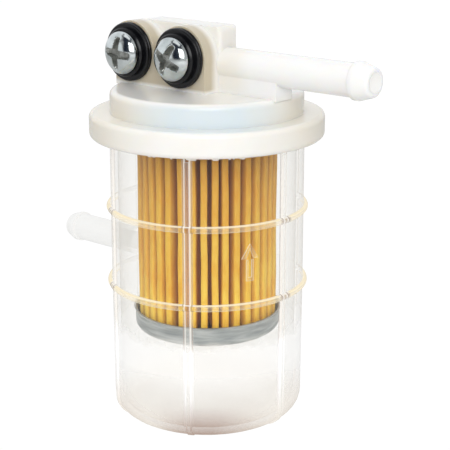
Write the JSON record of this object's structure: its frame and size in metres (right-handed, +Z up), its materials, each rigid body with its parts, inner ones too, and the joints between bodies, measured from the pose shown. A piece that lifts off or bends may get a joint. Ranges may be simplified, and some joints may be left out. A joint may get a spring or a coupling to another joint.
{
  "type": "fuel filter",
  "caption": "In-line fuel filter: clear ribbed bowl, milky cap with barbed outlet, pleated paper element, barbed inlet and rubber-mounted bracket screws.",
  "frame": {"origin": "centre of the bowl's flat underside, on the bowl's axis", "axes": "+Z up along the bowl's axis, +X the way the outlet tube points, and the screws face -Y"},
  "size_m": [0.096, 0.0564, 0.0961],
  "materials": {
    "clear_plastic": "clear moulded plastic",
    "milky_plastic": "milky moulded nylon",
    "filter_paper": "resin-treated pleated paper",
    "core_plastic": "moulded",
    "plate_metal": "pressed tinplate",
    "potting": "set adhesive",
    "black_rubber": "moulded rubber",
    "brass": "turned",
    "zinc_steel": "bright zinc plate"
  },
  "bodies": {
    "filter": {"bowl": "clear_plastic", "cap": "milky_plastic", "weld_bead": "milky_plastic", "paper_element": "filter_paper", "centre_tube": "core_plastic", "upper_end_plate": "plate_metal", "lower_end_plate": "plate_metal", "upper_potting": "potting", "lower_potting": "potting", "spigot_seal": "black_rubber", "insert_left": "brass", "insert_right": "brass"},
    "grommet_set_left": {"grommet_left": "black_rubber", "sleeve_left": "zinc_steel"},
    "grommet_set_right": {"grommet_right": "black_rubber", "sleeve_right": "zinc_steel"},
    "screw_left": {"screw_left": "zinc_steel"},
    "screw_right": {"screw_right": "zinc_steel"}
  },
  "joints": [
    {"name": "left_screw_travel", "type": "slide", "parent": "filter", "child": "grommet_set_left", "axis": [0, -1, 0], "range_m": [0, 0.005]},
    {"name": "left_screw_turn", "type": "hinge", "parent": "grommet_set_left", "child": "screw_left", "pos_m": [-0.0171, -0.0109, 0.0887], "axis": [0, -1, 0], "range_deg": [0, 1800]},
    {"name": "right_screw_travel", "type": "slide", "parent": "filter", "child": "grommet_set_right", "axis": [0, -1, 0], "range_m": [0, 0.005]},
    {"name": "right_screw_turn", "type": "hinge", "parent": "grommet_set_right", "child": "screw_right", "pos_m": [-0.001, -0.0109, 0.0887], "axis": [0, -1, 0], "range_deg": [0, 1800]}
  ],
  "couplings": [
    {"joint": "left_screw_turn", "follows": "left_screw_travel", "rad_per_m": 6283.2},
    {"joint": "right_screw_turn", "follows": "right_screw_travel", "rad_per_m": 6283.2}
  ]
}
